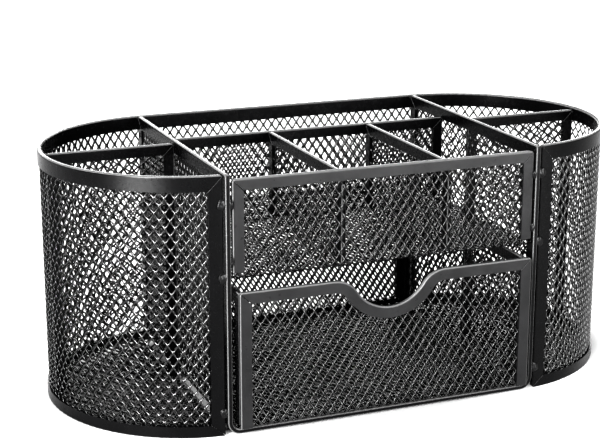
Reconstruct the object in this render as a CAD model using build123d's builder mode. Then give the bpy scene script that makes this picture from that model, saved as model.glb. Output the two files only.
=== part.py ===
"""A mesh desk organizer: an oval caddy with two divided end cups, a row of compartments and a drawer.

Everything is made of thin sheets of expanded mesh whose edges are wrapped in folded steel strips.
The mesh is drawn as plain thin sheet. X runs along the length, -Y is the drawer's side, Z is up.
The origin is on the table, at the centre of the footprint. All lengths are in millimetres.
"""

from build123d import *
from math import asin, degrees
import os

os.makedirs("parts", exist_ok=True)

# Overall size
overall_length = 236.0
body_depth = 114.0  # of the oval, without the drawer front
overall_height = 100.0
drawer_overhang = 3.6  # how far the closed drawer's front stands in front of the oval

# Sheets and folded strips
sheet = 0.4
strip_thickness = 2.0
rim_thickness = 2.2
slot = 0.6  # the gap inside a strip, which grips the sheet
fold = 0.8  # metal at a strip's closed edge
sheet_inset = 1.1  # from a strip's closed edge to the sheet's own edge
fold_radius = 0.7
foot_radius = 0.5  # on the edges that the organizer stands on
fit_gap = 0.1  # between pieces that are spot welded together
seam = 0.3  # the open line between two mitred strips, measured along the upright one
corner_radius = 1.4
reach = 200.0  # longer than anything that is cut
past_edge = 1.0  # how far outside a piece a slanted cut starts

rim_band = 5.8
foot_band = 4.6
post_width = 5.4
housing_band = 5.0
panel_band = 4.4
divider_band = 4.4
drawer_band = 4.6

# The oval wall
oval_y = drawer_overhang / 2
oval_radius = body_depth / 2
cap_centre = overall_length / 2 - oval_radius
rim_inner_radius = oval_radius - rim_thickness
wall_radius = oval_radius - rim_thickness / 2
post_x = 65.0  # the free edges of the wall's two front ends
front_cut_y = oval_y - 30.0  # cuts at the wall's front ends start here and run forward

# The housing between the cups, and what stands in it
housing_x = 63.4
housing_floor = 1.3
housing_corner = 4.0
housing_front = oval_y - 57.6
housing_rear = oval_y + rim_inner_radius - fit_gap
shelf_floor = 60.3
shelf_bend = 2.5
shelf_half_width = 62.2
panel_y = oval_y - 56.1
panel_half_width = 61.6
panel_top = 98.1
panel_bottom = 63.0
divider_top = 96.3
divider_sheet_lift = 0.3  # above the middle of the floor sheet
divider_strip_lift = 0.9
long_divider_y = oval_y + 23.0
long_divider_half = 62.3
short_divider_x = {"left": -17.2, "right": 26.7}

# The cups
cup_floor = 1.4
cup_floor_edge = 65.2
cup_divider_y = oval_y + 4.0
cup_divider_top = 99.0
cup_divider_outer = 115.4
cup_divider_inner = 64.5
cup_divider_bottom = 2.5

# The drawer
drawer_front_y = oval_y - oval_radius - drawer_overhang + strip_thickness / 2
drawer_back_y = 54.6
drawer_half_width = 60.4
drawer_back_half = 60.2
drawer_side_x = 59.2
drawer_floor = 3.0
drawer_top = 56.4
drawer_front_bottom = 3.3
drawer_leg_end = 4.8  # the front strips' rear legs stop above the sheet's bend
drawer_side_bottom = 4.2
drawer_side_top = 55.6
drawer_back_bottom = 5.7
drawer_back_top = 54.5
front_bend = 1.5
back_bend = 2.5
scoop_half_width = 23.0
scoop_depth = 12.4
bowl_radius = 16.5
scoop_arcs = (scoop_half_width**2 + scoop_depth**2) / (2 * scoop_depth)
shoulder_radius = scoop_arcs - bowl_radius
scoop_angle = degrees(asin(scoop_half_width / scoop_arcs))

# Weld beads
bead_radius = 1.4
small_bead_radius = 1.0
post_weld_x = 65.5  # on the posts' inner edges
weld_proud = 0.4  # of the posts' faces, to a bead's centre


def finish(piece, name):
    """Names a finished piece and writes it."""
    piece.part.label = name
    export_step(piece.part, f"parts/{name}.step")


def facing_front(y):
    """The upright plane across the organizer at y. A sketch on it has X and Z, and extrudes to -Y."""
    return Plane.XZ.offset(-y)


def facing_side(x):
    """The upright plane along the depth at x. A sketch on it has Y and Z, and extrudes to +X."""
    return Plane.YZ.offset(x)


def oval_ring(z, outer, inner):
    """The flat ring between two ovals at height z."""
    with BuildSketch(Plane((0, oval_y, z))) as ring:
        SlotCenterToCenter(2 * cap_centre, 2 * outer)
        SlotCenterToCenter(2 * cap_centre, 2 * inner, mode=Mode.SUBTRACT)
    return ring.sketch


def framed_strip(side, plane, left, right, bottom, top, width):
    """One mitred strip of a frame that is open at the bottom: its top, left or right side."""
    high_end = top - seam
    low_end = high_end - width
    outlines = {
        "top": [(left, top), (right, top), (right - width, top - width), (left + width, top - width)],
        "left": [(left, high_end), (left + width, low_end), (left + width, bottom), (left, bottom)],
        "right": [(right, high_end), (right - width, low_end), (right - width, bottom), (right, bottom)],
    }
    below = bottom - width
    with BuildPart() as strip:
        with BuildSketch(plane):
            with BuildLine():
                Polyline((left, below), (left, top), (right, top), (right, below), close=True)
            make_face()
            fillet(vertices().group_by(Axis.Y)[-1], corner_radius)
        extrude(amount=strip_thickness / 2, both=True)
        fillet(edges().filter_by(plane), fold_radius)
        with BuildSketch(plane):
            with BuildLine():
                Polyline(*outlines[side], close=True)
            make_face()
        extrude(amount=strip_thickness, both=True, mode=Mode.INTERSECT)
        with BuildSketch(plane):
            with BuildLine():
                Polyline(
                    (left + fold, below),
                    (left + fold, top - fold),
                    (right - fold, top - fold),
                    (right - fold, below),
                    close=True,
                )
            make_face()
        extrude(amount=slot / 2, both=True, mode=Mode.SUBTRACT)
    return strip


def flat_mesh(name, plane, left, right, bottom, top):
    """A flat upright sheet of mesh."""
    with BuildPart() as mesh:
        with BuildSketch(plane):
            with BuildLine():
                Polyline((left, bottom), (left, top), (right, top), (right, bottom), close=True)
            make_face()
        extrude(amount=sheet / 2, both=True)
    finish(mesh, name)


def divider(name, plane, left, right, sheet_bottom, strip_bottom, top, end_names):
    """A divider: a flat sheet in a frame of three strips."""
    flat_mesh(f"{name}_mesh", plane, left + sheet_inset, right - sheet_inset, sheet_bottom, top - sheet_inset)
    for side, side_name in zip(("top", "left", "right"), ("top", *end_names)):
        strip = framed_strip(side, plane, left, right, strip_bottom, top, divider_band)
        finish(strip, f"{name}_{side_name}_strip")


# ---------------------------------------------------------------- the oval wall
front_gap = 2 * (post_x + sheet_inset)

with BuildPart() as outer_wall_mesh:
    wall_ring = oval_ring(sheet_inset, wall_radius + sheet / 2, wall_radius - sheet / 2)
    extrude(wall_ring, amount=overall_height - 2 * sheet_inset)
    with BuildSketch(facing_front(front_cut_y)):
        Rectangle(front_gap, reach * 2)
    extrude(amount=reach, mode=Mode.SUBTRACT)
finish(outer_wall_mesh, "outer_wall_mesh")


def mitre_slope(band):
    """Sideways run of the mitre at a front corner, for each millimetre of height."""
    return post_width / band


def open_front(edge_z, band, direction):
    """Cuts a rim away between its two mitred front ends. direction is +1 at the top, -1 at the foot."""
    outer_z = edge_z + direction * past_edge
    inner_z = edge_z - direction * (band + past_edge)
    near = post_x - mitre_slope(band) * past_edge
    far = post_x + mitre_slope(band) * (band + past_edge)
    with BuildSketch(facing_front(front_cut_y)) as opening:
        with BuildLine():
            Polyline((-near, outer_z), (near, outer_z), (far, inner_z), (-far, inner_z), close=True)
        make_face()
    extrude(opening.sketch, amount=reach, mode=Mode.SUBTRACT)


def round_front_corners():
    """Rounds the four free corners of the wall's front ends, on whichever piece is being built."""
    middle_z = overall_height / 2
    with BuildSketch(facing_front(front_cut_y)) as corners:
        with Locations((0, middle_z)):
            with GridLocations(2 * post_x + corner_radius, overall_height - corner_radius, 2, 2):
                Rectangle(corner_radius, corner_radius)
            with GridLocations(2 * (post_x + corner_radius), overall_height - 2 * corner_radius, 2, 2):
                Circle(corner_radius, mode=Mode.SUBTRACT)
    extrude(corners.sketch, amount=reach, mode=Mode.SUBTRACT)


with BuildPart() as top_rim:
    extrude(oval_ring(overall_height - rim_band, oval_radius, rim_inner_radius), amount=rim_band)
    fillet(edges().group_by(Axis.Z)[-1], fold_radius)
    rim_slot = oval_ring(overall_height - rim_band, wall_radius + slot / 2, wall_radius - slot / 2)
    extrude(rim_slot, amount=rim_band - fold, mode=Mode.SUBTRACT)
    open_front(overall_height, rim_band, 1)
    round_front_corners()
finish(top_rim, "outer_wall_top_rim")

with BuildPart() as bottom_rim:
    extrude(oval_ring(0, oval_radius, rim_inner_radius), amount=foot_band)
    fillet(edges().group_by(Axis.Z)[0], foot_radius)
    foot_slot = oval_ring(fold, wall_radius + slot / 2, wall_radius - slot / 2)
    extrude(foot_slot, amount=foot_band, mode=Mode.SUBTRACT)
    open_front(0, foot_band, -1)
    round_front_corners()
finish(bottom_rim, "outer_wall_bottom_rim")

sides = {"left": -1, "right": 1}

for name, side in sides.items():
    with BuildPart() as post:
        extrude(oval_ring(0, oval_radius, rim_inner_radius), amount=overall_height)
        with BuildSketch(facing_front(front_cut_y)):
            with Locations((side * (post_x + post_width / 2), overall_height / 2)):
                Rectangle(post_width, overall_height)
        extrude(amount=reach, mode=Mode.INTERSECT)
        fillet(edges().filter_by(Axis.Z).sort_by(lambda edge: abs(edge.center().X))[:2], fold_radius)
        with BuildSketch(Plane((0, oval_y, 0))):
            SlotCenterToCenter(2 * cap_centre, 2 * wall_radius + slot)
            SlotCenterToCenter(2 * cap_centre, 2 * wall_radius - slot, mode=Mode.SUBTRACT)
            Rectangle(2 * (post_x + fold), reach, mode=Mode.SUBTRACT)
        extrude(amount=overall_height, mode=Mode.SUBTRACT)
        with BuildSketch(facing_front(front_cut_y)):
            with BuildLine():
                Polyline(
                    (side * post_x, seam),
                    (side * (post_x + post_width), foot_band + seam),
                    (side * (post_x + post_width), overall_height - rim_band - seam),
                    (side * post_x, overall_height - seam),
                    close=True,
                )
            make_face()
        extrude(amount=reach, mode=Mode.INTERSECT)
        round_front_corners()
    finish(post, f"{name}_front_post")

    with BuildPart() as floor_mesh:
        with BuildSketch(Plane((0, oval_y, cup_floor))):
            SlotCenterToCenter(2 * cap_centre, 2 * (rim_inner_radius - fit_gap))
            with Locations((side * (cup_floor_edge + reach / 2), 0)):
                Rectangle(reach, reach, mode=Mode.INTERSECT)
        extrude(amount=sheet / 2, both=True)
    finish(floor_mesh, f"{name}_cup_floor_mesh")

    divider_ends = sorted((side * cup_divider_outer, side * cup_divider_inner))
    divider(
        f"{name}_cup_divider",
        facing_front(cup_divider_y),
        *divider_ends,
        cup_divider_bottom,
        cup_divider_bottom,
        cup_divider_top,
        ("outer", "inner") if side < 0 else ("inner", "outer"),
    )


# ---------------------------------------------------------------- the housing
def housing_section(y, thickness):
    """The housing's U at y: left partition, floor, right partition."""
    top = overall_height + reach
    with BuildSketch(facing_front(y)) as section:
        with BuildLine():
            FilletPolyline(
                (-housing_x, top),
                (-housing_x, housing_floor),
                (housing_x, housing_floor),
                (housing_x, top),
                radius=housing_corner,
            )
        trace(line_width=thickness)
    return section.sketch


with BuildPart() as housing_mesh:
    housing_length = housing_rear - housing_front - 2 * sheet_inset
    extrude(housing_section(housing_rear - sheet_inset, sheet), amount=housing_length)
    with BuildSketch(facing_side(-reach)):
        with Locations((0, overall_height - sheet_inset)):
            Rectangle(2 * reach, 2 * reach, align=(Align.CENTER, Align.MIN))
    extrude(amount=2 * reach, mode=Mode.SUBTRACT)
finish(housing_mesh, "housing_mesh")


def housing_hem(name, closed_y, inward):
    """A folded strip round the U's front or rear edge, mitred against the partitions' top strips."""
    open_y = closed_y + inward * housing_band
    with BuildPart() as hem:
        extrude(housing_section(max(closed_y, open_y), strip_thickness), amount=housing_band)
        closed_face = faces().filter_by(Axis.Y).sort_by(Axis.Y, reverse=inward < 0)[0]
        fillet(closed_face.edges().filter_by(lambda edge: edge.length > strip_thickness + sheet), fold_radius)
        slot_rear = max(closed_y + inward * fold, open_y + inward * past_edge)
        slot_length = housing_band - fold + past_edge
        extrude(housing_section(slot_rear, slot), amount=slot_length, mode=Mode.SUBTRACT)
        outside_y = closed_y - inward * past_edge
        inside_y = open_y + inward * past_edge
        mitre_top = overall_height - seam
        with BuildSketch(facing_side(-reach)):
            with BuildLine():
                Polyline(
                    (outside_y, mitre_top + past_edge),
                    (inside_y, mitre_top - housing_band - past_edge),
                    (inside_y, overall_height + 2 * reach),
                    (outside_y, overall_height + 2 * reach),
                    close=True,
                )
            make_face()
        extrude(amount=2 * reach, mode=Mode.SUBTRACT)
    finish(hem, name)


housing_hem("housing_front_hem", housing_front, 1)
housing_hem("housing_rear_hem", housing_rear, -1)

for name, side in sides.items():
    partition = facing_side(side * housing_x)
    top_strip = framed_strip(
        "top",
        partition,
        housing_front,
        housing_rear,
        housing_floor,
        overall_height,
        housing_band,
    )
    finish(top_strip, f"{name}_partition_top_strip")

# ---------------------------------------------------------------- the shelf and its front panel
with BuildPart() as shelf_mesh:
    with BuildSketch(facing_side(-shelf_half_width)):
        with BuildLine():
            FilletPolyline(
                (panel_y, panel_top - sheet_inset),
                (panel_y, shelf_floor),
                (housing_rear - sheet_inset, shelf_floor),
                radius=shelf_bend,
            )
        trace(line_width=sheet)
    extrude(amount=2 * shelf_half_width)
    trim = shelf_half_width - panel_half_width + sheet_inset
    with BuildSketch(facing_front(panel_y + sheet)):
        with Locations((-shelf_half_width, panel_bottom)):
            Rectangle(trim, reach, align=(Align.MIN, Align.MIN))
        with Locations((shelf_half_width, panel_bottom)):
            Rectangle(trim, reach, align=(Align.MAX, Align.MIN))
    extrude(amount=2 * sheet, mode=Mode.SUBTRACT)
finish(shelf_mesh, "shelf_mesh")

for side_name in ("top", "left", "right"):
    panel_strip = framed_strip(
        side_name,
        facing_front(panel_y),
        -panel_half_width,
        panel_half_width,
        panel_bottom,
        panel_top,
        panel_band,
    )
    finish(panel_strip, f"shelf_front_{side_name}_strip")

with BuildPart() as shelf_rear_hem:
    hem_length = 2 * (shelf_half_width - fit_gap)
    with BuildSketch(Plane((0, housing_rear, shelf_floor))):
        Rectangle(hem_length, divider_band, align=(Align.CENTER, Align.MAX))
    extrude(amount=strip_thickness / 2, both=True)
    fillet(faces().sort_by(Axis.Y)[-1].edges().filter_by(Axis.X), fold_radius)
    with BuildSketch(Plane((0, housing_rear - fold, shelf_floor))):
        Rectangle(hem_length, divider_band, align=(Align.CENTER, Align.MAX))
    extrude(amount=slot / 2, both=True, mode=Mode.SUBTRACT)
finish(shelf_rear_hem, "shelf_rear_hem")

# ---------------------------------------------------------------- the compartments' dividers
divider(
    "long_divider",
    facing_front(long_divider_y),
    -long_divider_half,
    long_divider_half,
    shelf_floor + divider_sheet_lift,
    shelf_floor + divider_strip_lift,
    divider_top,
    ("left", "right"),
)
for name, x in short_divider_x.items():
    divider(
        f"{name}_short_divider",
        facing_side(x),
        panel_y + strip_thickness / 2 + fit_gap,
        long_divider_y - strip_thickness / 2 - fit_gap,
        shelf_floor + divider_sheet_lift,
        shelf_floor + divider_strip_lift,
        divider_top,
        ("front", "rear"),
    )


# ---------------------------------------------------------------- the drawer
def scoop_edge(depth):
    """Draws the drawer front's top edge with its finger scoop, moved inward by depth."""
    edge_z = drawer_top - depth
    shoulder_z = drawer_top - shoulder_radius
    bowl_z = drawer_top - scoop_depth + bowl_radius
    corner_x = drawer_half_width - depth
    Line((-corner_x, edge_z), (-scoop_half_width, edge_z))
    CenterArc((-scoop_half_width, shoulder_z), shoulder_radius - depth, 90, -scoop_angle)
    CenterArc((0, bowl_z), bowl_radius + depth, 270 - scoop_angle, 2 * scoop_angle)
    CenterArc((scoop_half_width, shoulder_z), shoulder_radius - depth, 90 + scoop_angle, -scoop_angle)
    Line((scoop_half_width, edge_z), (corner_x, edge_z))


def below_scoop(plane, depth, bottom):
    """The drawer front from its scooped top edge, moved inward by depth, down to bottom."""
    corner_x = drawer_half_width - depth
    with BuildSketch(plane) as front:
        with BuildLine():
            scoop_edge(depth)
            Polyline(
                (-corner_x, drawer_top - depth),
                (-corner_x, bottom),
                (corner_x, bottom),
                (corner_x, drawer_top - depth),
            )
        make_face()
    return front.sketch


drawer_front = facing_front(drawer_front_y)

with BuildPart() as drawer_tray_mesh:
    tray_half = drawer_half_width - sheet_inset
    with BuildSketch(facing_side(-tray_half)):
        with BuildLine():
            FilletPolyline(
                (drawer_front_y, drawer_top - sheet_inset),
                (drawer_front_y, drawer_floor),
                (drawer_back_y, drawer_floor),
                (drawer_back_y, drawer_back_top - sheet_inset),
                radius=(front_bend, back_bend),
            )
        trace(line_width=sheet)
    extrude(amount=2 * tray_half)
    above_sheet = drawer_top - sheet_inset + past_edge
    with BuildSketch(facing_front(drawer_front_y + sheet)):
        with BuildLine():
            scoop_edge(sheet_inset)
            Polyline(
                (-tray_half, drawer_top - sheet_inset),
                (-tray_half, above_sheet),
                (tray_half, above_sheet),
                (tray_half, drawer_top - sheet_inset),
            )
        make_face()
    extrude(amount=2 * sheet, mode=Mode.SUBTRACT)
finish(drawer_tray_mesh, "drawer_tray_mesh")

with BuildPart() as drawer_front_top_strip:
    extrude(below_scoop(drawer_front, 0, drawer_floor), amount=strip_thickness / 2, both=True)
    top_corners = edges().filter_by(Axis.Y).group_by(Axis.Z)[-1].sort_by(Axis.X)
    fillet([top_corners[0], top_corners[-1]], corner_radius)
    fillet(edges().filter_by(drawer_front), fold_radius)
    with BuildSketch(drawer_front):
        with BuildLine():
            scoop_edge(0)
            band_x = drawer_half_width - drawer_band
            Line((-drawer_half_width, drawer_top), (-band_x, drawer_top - drawer_band))
            scoop_edge(drawer_band)
            Line((drawer_half_width, drawer_top), (band_x, drawer_top - drawer_band))
        make_face()
    extrude(amount=strip_thickness, both=True, mode=Mode.INTERSECT)
    extrude(below_scoop(drawer_front, fold, drawer_floor), amount=slot / 2, both=True, mode=Mode.SUBTRACT)
finish(drawer_front_top_strip, "drawer_front_top_strip")

for name in sides:
    drawer_strip = framed_strip(
        name,
        drawer_front,
        -drawer_half_width,
        drawer_half_width,
        drawer_front_bottom,
        drawer_top,
        drawer_band,
    )
    with BuildPart() as drawer_front_side_strip:
        add(drawer_strip)
        with BuildSketch(Plane.XY.offset(drawer_floor)):
            with Locations((0, drawer_front_y - slot / 2)):
                Rectangle(reach, reach, align=(Align.CENTER, Align.MIN))
        extrude(amount=drawer_leg_end - drawer_floor, mode=Mode.SUBTRACT)
    finish(drawer_front_side_strip, f"drawer_front_{name}_strip")

for side_name in ("top", "left", "right"):
    back_strip = framed_strip(
        side_name,
        facing_front(drawer_back_y),
        -drawer_back_half,
        drawer_back_half,
        drawer_back_bottom,
        drawer_back_top,
        divider_band,
    )
    finish(back_strip, f"drawer_back_{side_name}_strip")

for name, side in sides.items():
    divider(
        f"drawer_{name}_side",
        facing_side(side * drawer_side_x),
        drawer_front_y + strip_thickness / 2 + fit_gap,
        drawer_back_y - strip_thickness / 2 - fit_gap,
        drawer_floor + divider_sheet_lift,
        drawer_side_bottom,
        drawer_side_top,
        ("front", "rear"),
    )

# ---------------------------------------------------------------- the weld spots
post_front_y = oval_y - oval_radius
weld_levels = (9.0, 61.5, 89.0)
panel_weld_x = (panel_half_width + housing_x - strip_thickness / 2) / 2

with BuildPart() as weld_beads:
    for side in (-1, 1):
        for level in weld_levels:
            with Locations((side * post_weld_x, post_front_y - weld_proud, level)):
                Sphere(bead_radius)
        for level in (panel_bottom + panel_band, panel_top - 2 * panel_band):
            with Locations((side * panel_weld_x, panel_y - strip_thickness / 2, level)):
                Sphere(small_bead_radius)
        with Locations((side * housing_x, housing_rear, overall_height - small_bead_radius)):
            Sphere(small_bead_radius)
        for x in (cup_divider_inner, cup_divider_outer):
            with Locations((side * x, cup_divider_y, cup_divider_top - small_bead_radius)):
                Sphere(small_bead_radius)
        with Locations((side * long_divider_half, long_divider_y, divider_top - small_bead_radius)):
            Sphere(small_bead_radius)
finish(weld_beads, "weld_beads")
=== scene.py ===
"""The looks of the mesh desk organizer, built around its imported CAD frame.

The CAD draws each sheet of mesh as a plain thin plate. Here every sheet becomes real expanded metal:
diamond holes, tilted strands and flat bonds, bent along the same path as the plate it stands for.
The folded strips stay CAD and get their paint here. The round weld beads become uneven drops.
Lengths in the mesh and weld code are in millimetres.
"""

from math import asin, atan, cos, pi, sin

import bmesh
import bpy
import numpy as np
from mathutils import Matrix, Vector, noise


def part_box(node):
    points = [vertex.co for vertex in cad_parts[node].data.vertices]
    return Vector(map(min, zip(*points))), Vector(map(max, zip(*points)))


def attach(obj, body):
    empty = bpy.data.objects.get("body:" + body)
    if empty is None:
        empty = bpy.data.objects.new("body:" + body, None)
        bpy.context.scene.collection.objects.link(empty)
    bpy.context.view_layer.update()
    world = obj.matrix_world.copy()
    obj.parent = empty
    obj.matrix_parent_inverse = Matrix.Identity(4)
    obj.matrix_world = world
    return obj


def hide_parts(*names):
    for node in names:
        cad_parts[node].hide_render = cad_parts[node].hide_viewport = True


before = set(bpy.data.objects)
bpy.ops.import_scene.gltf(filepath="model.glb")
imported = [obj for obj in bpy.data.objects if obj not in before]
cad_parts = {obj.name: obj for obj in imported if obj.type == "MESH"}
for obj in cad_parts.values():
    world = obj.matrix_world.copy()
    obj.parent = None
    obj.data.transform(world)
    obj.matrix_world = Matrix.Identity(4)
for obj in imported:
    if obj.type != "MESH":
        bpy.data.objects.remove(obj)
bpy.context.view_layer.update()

MM = 0.001

# The CAD frame's plain plates and folded strips
PLATE = 0.4  # a plate's thickness
STRIP_THICKNESS = 2.0
INSET = 1.1  # from a strip's closed edge to the plate's own edge
HOUSING_CORNER = 4.0
SHELF_BEND = 2.5
TRAY_FRONT_BEND = 1.5
TRAY_BACK_BEND = 2.5

SCOOP_HALF_WIDTH = 23.0
SCOOP_DEPTH = 12.4
BOWL_RADIUS = 16.5

# Weld spots
POST_LEVELS = (9.0, 61.5, 89.0)  # their heights on the front posts
PANEL_INSET = 4.4  # of the panel's spots, from its lower end
PANEL_DROP = 8.8  # and from its upper end
SPOT_DROP = 1.0  # of the other spots, below the edges that they sit on
POST_SPOT_INSET = 0.5  # of the posts' spots, from the posts' inner edges
POST_SPOT = (1.7, 0.75, 2.0)  # half sizes along X, Y and Z
PANEL_SPOT = (0.9, 0.6, 1.7)
REAR_SPOT = (1.4, 0.7, 0.75)
DIVIDER_SPOT = (0.8, 1.4, 1.1)
UNEVEN = 0.28  # how lumpy they are, as a share of their size
UNEVEN_SCALE = 1.4  # how closely the lumps follow each other

# Expanded metal
DIAMOND_WIDTH = 3.85
DIAMOND_HEIGHT = 5.55
STRAND_WIDTH = 0.66
STRAND_THICKNESS = 0.44
TILT = 0.26  # how far a hole's two side tips stand out of the sheet, one to each face
SIDE_TIP = 0.20  # half the blunt end of a hole's side tip
END_TIP = 0.15  # and of its upper and lower tips
BEND_STEPS = 4  # pieces that a strand is cut into where the sheet is bent


def box_mm(node):
    """The lowest and highest corner of a CAD node, in millimetres."""
    low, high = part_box(node)
    return np.array(low) / MM, np.array(high) / MM


# ---------------------------------------------------------------- expanded metal
def hole_outline(half_width, half_height):
    """A hole's eight corners, anticlockwise from the right tip's lower one, and how far each is tilted."""
    reach = half_width * half_height / np.hypot(half_width, half_height)
    shrink = 1 - STRAND_WIDTH / 2 / reach
    tip_x = shrink * half_width - SIDE_TIP * half_width / half_height
    tip_y = shrink * half_height - END_TIP * half_height / half_width
    corners = [
        (tip_x, -SIDE_TIP),
        (tip_x, SIDE_TIP),
        (END_TIP, tip_y),
        (-END_TIP, tip_y),
        (-tip_x, SIDE_TIP),
        (-tip_x, -SIDE_TIP),
        (-END_TIP, -tip_y),
        (END_TIP, -tip_y),
    ]
    tilt = [-TILT, -TILT, 0, 0, TILT, TILT, 0, 0]
    return np.array(corners), np.array(tilt)


class Lattice:
    """The flat pattern of one sheet: points (u, v, tilt) and the faces of its upper side."""

    def __init__(self, span, half_width, half_height):
        u_low, u_high, v_low, v_high = span
        middle = np.array([(u_low + u_high) / 2, (v_low + v_high) / 2])
        columns = int((u_high - u_low) / 2 / half_width) + 3
        rows = int((v_high - v_low) / 2 / half_height) + 3
        corners, tilt = hole_outline(half_width, half_height)
        self.first = {}
        points = []
        for i in range(-columns, columns + 1):
            for j in range(-rows, rows + 1):
                if (i + j) % 2:
                    continue
                self.first[i, j] = 8 * len(self.first)
                centre = middle + (i * half_width, j * half_height)
                points.append(np.column_stack([corners + centre, tilt]))
        self.points = [tuple(p) for p in np.concatenate(points)]
        self.faces = []

    def add_point(self, point):
        self.points.append(tuple(point))
        return len(self.points) - 1

    def add_strand(self, start, end, other_start, other_end, steps):
        """The strand between two holes' long sides, cut into steps along its length."""
        ends = np.array([self.points[k] for k in (start, end, other_start, other_end)])
        near, far = [start], [other_start]
        for step in range(1, steps):
            share = step / steps
            near.append(self.add_point(ends[0] + share * (ends[1] - ends[0])))
            far.append(self.add_point(ends[2] + share * (ends[3] - ends[2])))
        near.append(end)
        far.append(other_end)
        for k in range(steps):
            self.faces.append([near[k], far[k], far[k + 1], near[k + 1]])

    def add_metal(self, steps_at):
        """All strands and bonds. steps_at says how many pieces a strand at v is cut into."""
        for (i, j), hole in list(self.first.items()):
            up = self.first.get((i + 1, j + 1))
            down = self.first.get((i + 1, j - 1))
            right = self.first.get((i + 2, j))
            v = self.points[hole][1]
            if up is not None:
                self.add_strand(hole + 1, hole + 2, up + 6, up + 5, steps_at(v))
            if down is not None:
                self.add_strand(hole + 7, hole + 0, down + 4, down + 3, steps_at(v))
            if None not in (up, down, right):
                self.faces.append(
                    [right + 5, right + 4, up + 7, up + 6, hole + 1, hole + 0, down + 3, down + 2]
                )

    def trim(self, depth_inside):
        """Cuts the pattern off at the sheet's edge, where depth_inside is zero."""
        places = np.array(self.points)
        depth = list(depth_inside(places[:, 0], places[:, 1]))
        cuts = {}

        def cut(a, b):
            key = (min(a, b), max(a, b))
            if key not in cuts:
                one, two = (np.array(self.points[k]) for k in key)
                share = depth[key[0]] / (depth[key[0]] - depth[key[1]])
                cuts[key] = self.add_point(one + share * (two - one))
                depth.append(0.0)
            return cuts[key]

        kept_faces = []
        for face in self.faces:
            if min(depth[k] for k in face) > 0:
                kept_faces.append(face)
                continue
            kept = []
            for a, b in zip(face, face[1:] + face[:1]):
                if depth[a] > 0:
                    kept.append(a)
                if (depth[a] > 0) != (depth[b] > 0):
                    kept.append(cut(a, b))
            if len(kept) >= 3:
                kept_faces.append(kept)
        self.faces = kept_faces

    def solid(self):
        """Vertices (u, v, height) and faces of the closed sheet: both sides and every edge wall."""
        used = sorted({k for face in self.faces for k in face})
        new_number = {k: n for n, k in enumerate(used)}
        upper = [[new_number[k] for k in face] for face in self.faces]
        middle = np.array([self.points[k] for k in used])
        lift = np.array([0, 0, STRAND_THICKNESS / 2])
        vertices = np.concatenate([middle + lift, middle - lift])
        below = len(used)
        directed = {(a, b) for face in upper for a, b in zip(face, face[1:] + face[:1])}
        faces = upper + [[k + below for k in reversed(face)] for face in upper]
        for a, b in directed:
            if (b, a) not in directed:
                faces.append([a, a + below, b + below, b])
        return vertices, faces


def folded_path(corners, radii):
    """A polyline with rounded corners: its length, where it bends, and a walk along it."""
    corners = [np.array(c, float) for c in corners]
    pieces, bends = [], []
    start, travelled = corners[0], 0.0
    for before, corner, after, radius in zip(corners, corners[1:], corners[2:], radii):
        way_in = (corner - before) / np.linalg.norm(corner - before)
        way_out = (after - corner) / np.linalg.norm(after - corner)
        turn = np.arctan2(way_in[0] * way_out[1] - way_in[1] * way_out[0], way_in @ way_out)
        setback = radius * np.tan(abs(turn) / 2)
        run = np.linalg.norm(corner - way_in * setback - start)
        pieces.append((travelled, start, way_in, 0.0))
        travelled += run
        pieces.append((travelled, corner - way_in * setback, way_in, turn / (radius * abs(turn))))
        bends.append((travelled, travelled + radius * abs(turn)))
        travelled += radius * abs(turn)
        start = corner + way_out * setback
    way = (corners[-1] - start) / np.linalg.norm(corners[-1] - start)
    pieces.append((travelled, start, way, 0.0))
    length = travelled + np.linalg.norm(corners[-1] - start)

    def walk(distance):
        """Points on the path and its direction there."""
        points = np.zeros((len(distance), 2))
        directions = np.zeros((len(distance), 2))
        for n, (begin, origin, way, curvature) in enumerate(pieces):
            finish = pieces[n + 1][0] if n + 1 < len(pieces) else np.inf
            mine = (distance >= (begin if n else -np.inf)) & (distance < finish)
            along = distance[mine] - begin
            side = np.array([-way[1], way[0]])
            if curvature:
                angle = along * curvature
                points[mine] = origin + np.outer(np.sin(angle), way) / curvature
                points[mine] += np.outer(1 - np.cos(angle), side) / curvature
                directions[mine] = np.outer(np.cos(angle), way) + np.outer(np.sin(angle), side)
            else:
                points[mine] = origin + np.outer(along, way)
                directions[mine] = way
        return points, directions

    return length, bends, walk


def make_sheet(name, body, material, vertices, faces, place):
    """A smooth-shaded piece from the sheet's flat solid, put where place says."""
    u, v, height = vertices.T
    mesh = bpy.data.meshes.new(name)
    mesh.from_pydata((place(u, v, height) * MM).tolist(), [], faces)
    mesh.shade_smooth()
    mesh.materials.append(material)
    piece = bpy.data.objects.new(name, mesh)
    bpy.context.scene.collection.objects.link(piece)
    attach(piece, body)
    return piece


def expanded_metal(node, body, span, depth_inside, place, lying=False, bends=()):
    """Makes one sheet of expanded metal and puts it in the place of a CAD plate."""
    half_width, half_height = DIAMOND_WIDTH / 2, DIAMOND_HEIGHT / 2

    def steps_at(v):
        near = any(low - half_height < v < high + half_height for low, high in bends)
        return BEND_STEPS if near else 1

    if lying:
        turned_span = (span[2], span[3], -span[1], -span[0])
        lattice = Lattice(turned_span, half_width, half_height)
        lattice.points = [(-q, p, w) for p, q, w in lattice.points]
    else:
        lattice = Lattice(span, half_width, half_height)
    lattice.add_metal(steps_at)
    lattice.trim(depth_inside)
    vertices, faces = lattice.solid()
    piece = make_sheet(f"{node}_expanded", body, mesh_paint, vertices, faces, place)
    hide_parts(node)
    return piece


def depth_in_span(span):
    """How far a point is inside a rectangle."""
    u_low, u_high, v_low, v_high = span

    def depth(u, v):
        return np.minimum.reduce([u - u_low, u_high - u, v - v_low, v_high - v])

    return depth


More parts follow.
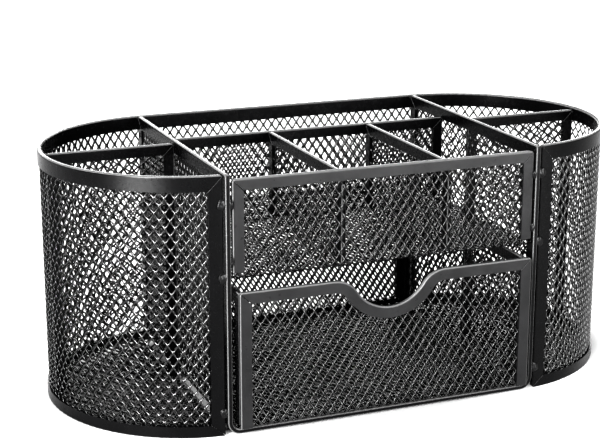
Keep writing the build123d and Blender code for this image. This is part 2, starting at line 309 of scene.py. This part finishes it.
# ---------------------------------------------------------------- the sheets
def flat_sheet(node, body, lying=False):
    """An upright flat sheet, which faces +X or -Y."""
    low, high = box_mm(node)
    across = 1 if high[0] - low[0] < high[1] - low[1] else 0
    middle = (low + high) / 2
    span = (low[across], high[across], low[2], high[2])

    def place(u, v, height):
        if across == 0:
            return np.column_stack([u, middle[1] - height, v])
        return np.column_stack([middle[0] + height, u, v])

    expanded_metal(node, body, span, depth_in_span(span), place, lying)


def oval_wall():
    """The wall round the oval, from the right front post round the back to the left one."""
    node = "outer_wall_mesh"
    low, high = box_mm(node)
    floor_low, floor_high = box_mm("left_cup_floor_mesh")
    oval_y = (floor_low[1] + floor_high[1]) / 2
    radius = high[1] - oval_y - PLATE / 2
    cap_x = high[0] - PLATE / 2 - radius
    end_x = box_mm("right_front_post")[0][0] + INSET
    lead = asin((end_x - cap_x) / radius)
    cap_arc = (pi - lead) * radius
    length = 2 * cap_arc + 2 * cap_x

    def place(u, v, height):
        around_right = -pi / 2 + lead + u / radius
        around_left = pi / 2 + (u - cap_arc - 2 * cap_x) / radius
        along_back = np.clip(u - cap_arc, 0, 2 * cap_x)
        angle = np.where(u < cap_arc, around_right, np.where(u > cap_arc + 2 * cap_x, around_left, pi / 2))
        centre_x = cap_x - along_back
        out = radius + height
        return np.column_stack([centre_x + out * np.cos(angle), oval_y + out * np.sin(angle), v])

    span = (0, length, low[2], high[2])
    expanded_metal(node, "organizer", span, depth_in_span(span), place)
    return oval_y, cap_x


def cup_floor(side_name, oval_y, cap_x):
    """A cup's floor, straight at its inner edge and round at its outer one."""
    node = f"{side_name}_cup_floor_mesh"
    side = -1 if side_name == "left" else 1
    low, high = box_mm(node)
    radius = max(abs(low[0]), abs(high[0])) - cap_x
    straight_x = min(abs(low[0]), abs(high[0]))
    middle_z = (low[2] + high[2]) / 2

    def depth(u, v):
        return np.minimum(radius - np.hypot(side * u - cap_x, v - oval_y), side * u - straight_x)

    def place(u, v, height):
        return np.column_stack([u, v, middle_z + height])

    expanded_metal(node, "organizer", (low[0], high[0], low[1], high[1]), depth, place)


def housing():
    """The U of the two partitions and the floor between them."""
    node = "housing_mesh"
    low, high = box_mm(node)
    wall_x = high[0] - PLATE / 2
    floor_z = low[2] + PLATE / 2
    corners = [(-wall_x, high[2]), (-wall_x, floor_z), (wall_x, floor_z), (wall_x, high[2])]
    length, bends, walk = folded_path(corners, [HOUSING_CORNER] * 2)
    span = (low[1], high[1], 0, length)

    def place(u, v, height):
        points, ways = walk(v)
        x = points[:, 0] + height * ways[:, 1]
        z = points[:, 1] - height * ways[:, 0]
        return np.column_stack([x, u, z])

    expanded_metal(node, "organizer", span, depth_in_span(span), place, bends=bends)


def lengthwise_place(walk):
    """Puts a sheet whose path lies in the YZ plane: u is x, v goes along the path."""

    def place(u, v, height):
        points, ways = walk(v)
        y = points[:, 0] - height * ways[:, 1]
        z = points[:, 1] + height * ways[:, 0]
        return np.column_stack([u, y, z])

    return place


def shelf():
    """The L of the front panel and the shelf under the compartments."""
    node = "shelf_mesh"
    low, high = box_mm(node)
    panel_y = low[1] + PLATE / 2
    floor_z = low[2] + PLATE / 2
    corners = [(panel_y, high[2]), (panel_y, floor_z), (high[1], floor_z)]
    length, bends, walk = folded_path(corners, [SHELF_BEND])
    panel_half = box_mm("shelf_front_top_strip")[1][0] - INSET
    panel_length = high[2] - box_mm("shelf_front_left_strip")[0][2]
    span = (low[0], high[0], 0, length)

    def depth(u, v):
        half = np.where(v < panel_length, panel_half, high[0])
        return np.minimum.reduce([half - abs(u), v, length - v])

    expanded_metal(node, "organizer", span, depth, lengthwise_place(walk), bends=bends)


def drawer_tray():
    """The drawer's front, floor and back, one sheet with the finger scoop cut from its front edge."""
    node = "drawer_tray_mesh"
    low, high = box_mm(node)
    front_y = low[1] + PLATE / 2
    back_y = high[1] - PLATE / 2
    floor_z = low[2] + PLATE / 2
    front_top = high[2]
    back_top = box_mm("drawer_back_top_strip")[1][2] - INSET
    corners = [(front_y, front_top), (front_y, floor_z), (back_y, floor_z), (back_y, back_top)]
    length, bends, walk = folded_path(corners, [TRAY_FRONT_BEND, TRAY_BACK_BEND])
    span = (low[0], high[0], 0, length)
    bowl_up = BOWL_RADIUS - SCOOP_DEPTH - INSET  # of the bowl's centre above the sheet's edge
    shoulder = (SCOOP_HALF_WIDTH**2 + SCOOP_DEPTH**2) / (2 * SCOOP_DEPTH) - BOWL_RADIUS
    shoulder_down = shoulder - INSET
    meeting_x = SCOOP_HALF_WIDTH * BOWL_RADIUS / (BOWL_RADIUS + shoulder)

    def depth(u, v):
        across = abs(u)
        below_bowl = np.hypot(u, v + bowl_up) - BOWL_RADIUS - INSET
        in_shoulder = shoulder - INSET - np.hypot(across - SCOOP_HALF_WIDTH, v - shoulder_down)
        under = np.where(across < meeting_x, below_bowl, in_shoulder)
        top = np.where((across < SCOOP_HALF_WIDTH) & (v < SCOOP_DEPTH), under, v)
        past_shoulder = (across < SCOOP_HALF_WIDTH) & (across > meeting_x) & (v > shoulder_down)
        top = np.where(past_shoulder, np.minimum(v, below_bowl), top)
        return np.minimum.reduce([u - low[0], high[0] - u, top, length - v])

    expanded_metal(node, "drawer", span, depth, lengthwise_place(walk), bends=bends)


# ---------------------------------------------------------------- paint
NOISE_LOW, NOISE_HIGH = 0.25, 0.75
SIDE_NORMAL = 0.97  # the largest part of the normal, where a strip's flat side ends
FOLD_NORMAL = 0.80  # and where its fold is fully turned
PATCH_SCALE, GLOSS_SCALE, WAVE_SCALE, GRAIN_SCALE = 90, 420, 700, 4200  # noise bumps to the metre


def shader_nodes(name):
    """A new material with its node tree, shader and object coordinates."""
    material = bpy.data.materials.new(name)
    material.use_nodes = True
    nodes = material.node_tree.nodes
    shader = nodes["Principled BSDF"]
    coordinates = nodes.new("ShaderNodeTexCoord").outputs["Object"]
    return material, shader, coordinates


def noise_value(material, coordinates, scale, detail=2.0, roughness=0.5):
    """Fine noise with about scale bumps to the metre."""
    texture = material.node_tree.nodes.new("ShaderNodeTexNoise")
    texture.inputs["Scale"].default_value = scale
    texture.inputs["Detail"].default_value = detail
    texture.inputs["Roughness"].default_value = roughness
    material.node_tree.links.new(coordinates, texture.inputs["Vector"])
    return texture.outputs["Fac"]


def in_range(material, value, low, high):
    """Noise, which mostly stays between NOISE_LOW and NOISE_HIGH, spread from low to high."""
    spread = material.node_tree.nodes.new("ShaderNodeMapRange")
    spread.inputs["From Min"].default_value = NOISE_LOW
    spread.inputs["From Max"].default_value = NOISE_HIGH
    spread.inputs["To Min"].default_value = low
    spread.inputs["To Max"].default_value = high
    material.node_tree.links.new(value, spread.inputs["Value"])
    return spread.outputs["Result"]


def colours(material, value, *stops):
    """A colour ramp over value, from (position, colour) stops."""
    ramp = material.node_tree.nodes.new("ShaderNodeValToRGB")
    elements = ramp.color_ramp.elements
    while len(elements) < len(stops):
        elements.new(0.5)
    for element, (position, colour) in zip(elements, stops):
        element.position = position
        element.color = (*colour, 1)
    material.node_tree.links.new(value, ramp.inputs["Fac"])
    return ramp.outputs["Color"]


def bump(material, height, distance, normal=None):
    """A bump of that height in metres."""
    node = material.node_tree.nodes.new("ShaderNodeBump")
    node.inputs["Distance"].default_value = distance
    node.inputs["Strength"].default_value = 1.0
    material.node_tree.links.new(height, node.inputs["Height"])
    if normal:
        material.node_tree.links.new(normal, node.inputs["Normal"])
    return node.outputs["Normal"]


# The mask of the painted highlight on the strips' folds.
def on_folds(material, round_wall):
    """How far the surface is turned between two flat sides of a strip: 0 on the sides, 1 on a fold.

    On a round wall every upright face counts as a side, whichever way it looks.
    """
    nodes, links = material.node_tree.nodes, material.node_tree.links
    normal = nodes.new("ShaderNodeTexCoord").outputs["Normal"]
    flat = nodes.new("ShaderNodeVectorMath")
    flat.operation = "MULTIPLY"
    flat.inputs[1].default_value = (1, 1, 0)
    links.new(normal, flat.inputs[0])
    sideways = nodes.new("ShaderNodeVectorMath")
    sideways.operation = "LENGTH"
    links.new(flat.outputs["Vector"], sideways.inputs[0])
    parts = nodes.new("ShaderNodeSeparateXYZ")
    links.new(normal, parts.inputs["Vector"])
    values = [sideways.outputs["Value"]] if round_wall else [parts.outputs["X"], parts.outputs["Y"]]
    largest = parts.outputs["Z"]
    for value in values:
        size = [nodes.new("ShaderNodeMath") for _ in range(3)]
        for node, operation in zip(size, ("ABSOLUTE", "ABSOLUTE", "MAXIMUM")):
            node.operation = operation
        links.new(largest, size[0].inputs[0])
        links.new(value, size[1].inputs[0])
        links.new(size[0].outputs["Value"], size[2].inputs[0])
        links.new(size[1].outputs["Value"], size[2].inputs[1])
        largest = size[2].outputs["Value"]
    fold = nodes.new("ShaderNodeMapRange")
    fold.inputs["From Min"].default_value = SIDE_NORMAL
    fold.inputs["From Max"].default_value = FOLD_NORMAL
    links.new(largest, fold.inputs["Value"])
    return fold.outputs["Result"]


def painted_black(name, colour, specular, roughness, grain, wave, fold_highlight=None, round_wall=False):
    """Black powder coat: a fine grain on long soft waves, with colour and gloss that vary a little.

    roughness is its lowest and highest value, and grain and wave are heights in metres.
    The colour given for the folds is a painted highlight: the coat is painted lighter where a strip is
    folded.
    """
    material, shader, coordinates = shader_nodes(name)
    shader.inputs["Specular IOR Level"].default_value = specular
    links = material.node_tree.links
    patches = noise_value(material, coordinates, PATCH_SCALE, 3.0)
    dark = tuple(0.75 * c for c in colour)
    light = tuple(1.3 * c for c in colour)
    coat = colours(material, patches, (0.3, dark), (0.7, light))
    # Painted highlight: the coat turns lighter on the folds, where light catches the edge.
    if fold_highlight:
        mix = material.node_tree.nodes.new("ShaderNodeMix")
        mix.data_type = "RGBA"
        links.new(on_folds(material, round_wall), mix.inputs["Factor"])
        links.new(coat, mix.inputs["A"])
        mix.inputs["B"].default_value = (*fold_highlight, 1)
        coat = mix.outputs["Result"]
    links.new(coat, shader.inputs["Base Color"])
    gloss = noise_value(material, coordinates, GLOSS_SCALE, 4.0)
    links.new(in_range(material, gloss, *roughness), shader.inputs["Roughness"])
    waves = bump(material, noise_value(material, coordinates, WAVE_SCALE, 1.0), wave)
    grained = bump(material, noise_value(material, coordinates, GRAIN_SCALE, 2.0), grain, waves)
    links.new(grained, shader.inputs["Normal"])
    return material


# A painted highlight: the lighter colour put on the strips' folds.
PAINTED_FOLD_HIGHLIGHT = (0.06, 0.06, 0.06)
STRIP_COAT = {
    "colour": (0.0012, 0.0012, 0.0013),
    "specular": 0.09,
    "roughness": (0.22, 0.30),
    "grain": 0.000008,
    "wave": 0.00003,
    "fold_highlight": PAINTED_FOLD_HIGHLIGHT,
}
mesh_paint = painted_black(
    "mesh_paint",
    colour=(0.002, 0.002, 0.002),
    specular=0.42,
    roughness=(0.12, 0.20),
    grain=0.000008,
    wave=0.00002,
)
strip_paint = painted_black("strip_paint", **STRIP_COAT)
rim_paint = painted_black("rim_paint", **STRIP_COAT, round_wall=True)
# Painted sheen: the front strips get a lighter coat than the other strips, standing in for the light they
# reflect, and a duller gloss.
front_sheen_paint = painted_black(
    "front_sheen_paint",
    colour=(0.006, 0.006, 0.0062),
    specular=0.15,
    roughness=(0.26, 0.36),
    grain=0.000018,
    wave=0.00004,
    fold_highlight=PAINTED_FOLD_HIGHLIGHT,
)
weld_paint = painted_black(
    "weld_paint",
    colour=(0.003, 0.003, 0.0031),
    specular=0.12,
    roughness=(0.22, 0.34),
    grain=0.000020,
    wave=0.00006,
)


def paint_for(name):
    """The paint of a CAD node. The strips on the two fronts are duller and painted lighter as a painted
    sheen, and the rims are round walls.
    """
    if name.endswith("_mesh"):
        return mesh_paint
    if name.startswith("outer_wall") or name.endswith("front_post"):
        return rim_paint
    return front_sheen_paint if name.startswith(("shelf_front", "drawer_front")) else strip_paint


for name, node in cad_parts.items():
    for material_slot in node.material_slots:
        material_slot.material = paint_for(name)

oval_y, cap_x = oval_wall()
for side_name in ("left", "right"):
    cup_floor(side_name, oval_y, cap_x)
    flat_sheet(f"{side_name}_cup_divider_mesh", "organizer", lying=True)
    flat_sheet(f"{side_name}_short_divider_mesh", "organizer")
    flat_sheet(f"drawer_{side_name}_side_mesh", "drawer")
flat_sheet("long_divider_mesh", "organizer")
housing()
shelf()
drawer_tray()


# ---------------------------------------------------------------- weld spots
def add_drop(drops, centre, half_sizes):
    """Adds one flattened, uneven drop of weld metal."""
    centre = Vector(centre)
    ball = bmesh.ops.create_icosphere(drops, subdivisions=4, radius=1)
    for vertex in ball["verts"]:
        lump = 1 + UNEVEN * noise.noise(UNEVEN_SCALE * vertex.co + centre)
        vertex.co = (centre + lump * vertex.co * Vector(half_sizes)) * MM


def weld_spots():
    """All the weld spots, in the place of the CAD's round beads."""
    post_low = box_mm("right_front_post")[0]
    panel_low, panel_high = box_mm("shelf_front_right_strip")
    hem_high = box_mm("housing_front_hem")[1]
    rear_high = box_mm("housing_rear_hem")[1]
    overall_high = box_mm("right_partition_top_strip")[1]
    cup_low, cup_high = box_mm("right_cup_divider_top_strip")
    long_low, long_high = box_mm("long_divider_top_strip")
    cup_y = (cup_low[1] + cup_high[1]) / 2
    long_y = (long_low[1] + long_high[1]) / 2
    rear_x = rear_high[0] - STRIP_THICKNESS / 2
    seam_x = (panel_high[0] + hem_high[0] - STRIP_THICKNESS) / 2
    post_x = post_low[0] + POST_SPOT_INSET
    drops = bmesh.new()
    for side in (-1, 1):
        for level in POST_LEVELS:
            add_drop(drops, (side * post_x, post_low[1], level), POST_SPOT)
        for level in (panel_low[2] + PANEL_INSET, panel_high[2] - PANEL_DROP):
            add_drop(drops, (side * seam_x, panel_low[1], level), PANEL_SPOT)
        add_drop(drops, (side * rear_x, rear_high[1], overall_high[2] - SPOT_DROP), REAR_SPOT)
        for x in (cup_low[0], cup_high[0]):
            add_drop(drops, (side * x, cup_y, cup_high[2] - SPOT_DROP), DIVIDER_SPOT)
        add_drop(drops, (side * long_high[0], long_y, long_high[2] - SPOT_DROP), DIVIDER_SPOT)
    mesh = bpy.data.meshes.new("weld_spots")
    drops.to_mesh(mesh)
    drops.free()
    mesh.shade_smooth()
    mesh.materials.append(weld_paint)
    piece = bpy.data.objects.new("weld_spots", mesh)
    bpy.context.scene.collection.objects.link(piece)
    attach(piece, "organizer")
    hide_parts("weld_beads")


weld_spots()


# ---------------------------------------------------------------- stage, light and camera
def make_floor():
    """A grey floor that glows white, with painted shade where the organizer stands: there its glow fades
    to black.
    """
    half = 4.0
    glow_start, glow_full_beside, glow_far = 0.119, 0.132, 0.6  # metres along the length, half that across
    corners = [(-half, -half, 0), (half, -half, 0), (half, half, 0), (-half, half, 0)]
    mesh = bpy.data.meshes.new("floor")
    mesh.from_pydata(corners, [], [(0, 1, 2, 3)])
    material, shader, coordinates = shader_nodes("floor_paint")
    shader.inputs["Base Color"].default_value = (0.22, 0.22, 0.22, 1)
    shader.inputs["Roughness"].default_value = 0.7
    shader.inputs["Emission Strength"].default_value = 1.0
    links = material.node_tree.links
    stretched = material.node_tree.nodes.new("ShaderNodeVectorMath")
    stretched.operation = "MULTIPLY"
    stretched.inputs[1].default_value = (1, 2, 1)
    links.new(coordinates, stretched.inputs[0])
    distance = material.node_tree.nodes.new("ShaderNodeVectorMath")
    distance.operation = "LENGTH"
    links.new(stretched.outputs["Vector"], distance.inputs[0])
    # Painted shade: the glow is black under the organizer and turns pale just beside it.
    dim, pale, bright = (0, 0, 0), (0.78, 0.78, 0.78), (0.9, 0.9, 0.9)
    reach = distance.outputs["Value"]
    glow = colours(material, reach, (glow_start, dim), (glow_full_beside, pale), (glow_far, bright))
    links.new(glow, shader.inputs["Emission Color"])
    mesh.materials.append(material)
    floor = bpy.data.objects.new("floor", mesh)
    bpy.context.scene.collection.objects.link(floor)


def soft_light(name, place, target, size, radiance):
    """A rectangular softbox at place that shines at target. It isn't in any picture itself."""
    lamp = bpy.data.lights.new(name, "AREA")
    lamp.shape = "RECTANGLE"
    lamp.size, lamp.size_y = size
    lamp.energy = radiance * pi * size[0] * size[1]
    light = bpy.data.objects.new(name, lamp)
    light.location = place
    light.rotation_euler = (Vector(target) - Vector(place)).to_track_quat("-Z", "Y").to_euler()
    light.visible_camera = False
    bpy.context.scene.collection.objects.link(light)


def floor_pool(name, place, radius, power):
    """A lamp straight above one patch of the floor outside the picture, for the rim to mirror."""
    height = 0.5
    lamp = bpy.data.lights.new(name, "SPOT")
    lamp.energy = power
    lamp.spot_size = 2 * atan(radius / height)
    lamp.spot_blend = 1.0
    lamp.shadow_soft_size = 0.03
    light = bpy.data.objects.new(name, lamp)
    light.location = (*place, height)
    bpy.context.scene.collection.objects.link(light)


def make_camera():
    """The camera stands to the left of the organizer's front and looks down a little."""
    yaw, pitch = 0.380, 0.2708
    data = bpy.data.cameras.new("camera")
    data.sensor_width = 36.0
    data.lens = 92.37
    camera = bpy.data.objects.new("camera", data)
    camera.location = (-0.23648, -0.55826, 0.23070)
    forward = Vector((sin(yaw) * cos(pitch), cos(yaw) * cos(pitch), -sin(pitch)))
    camera.rotation_euler = forward.to_track_quat("-Z", "Y").to_euler()
    bpy.context.scene.collection.objects.link(camera)
    bpy.context.scene.camera = camera


make_floor()
soft_light("key", (-0.80, -0.60, 0.50), (0, 0, 0.06), (0.26, 0.95), 95)
soft_light("fill", (0.42, -0.85, 0.22), (0, 0, 0.06), (0.50, 0.36), 36)
soft_light("backdrop", (0.70, 2.20, 0.74), (0, 0, 0.10), (2.8, 0.5), 9)
soft_light("overhead", (0.42, 0.48, 0.90), (0, 0, 0.08), (1.3, 0.10), 16)
floor_pool("rim_pool", (-0.37, -0.25), 0.15, 1600)
make_camera()

world = bpy.data.worlds.new("studio")
world.use_nodes = True
world.node_tree.nodes["Background"].inputs["Color"].default_value = (1, 1, 1, 1)
world.node_tree.nodes["Background"].inputs["Strength"].default_value = 0.03
bpy.context.scene.world = world
bpy.context.scene.view_settings.view_transform = "Standard"
bpy.context.scene.view_settings.look = "High Contrast"
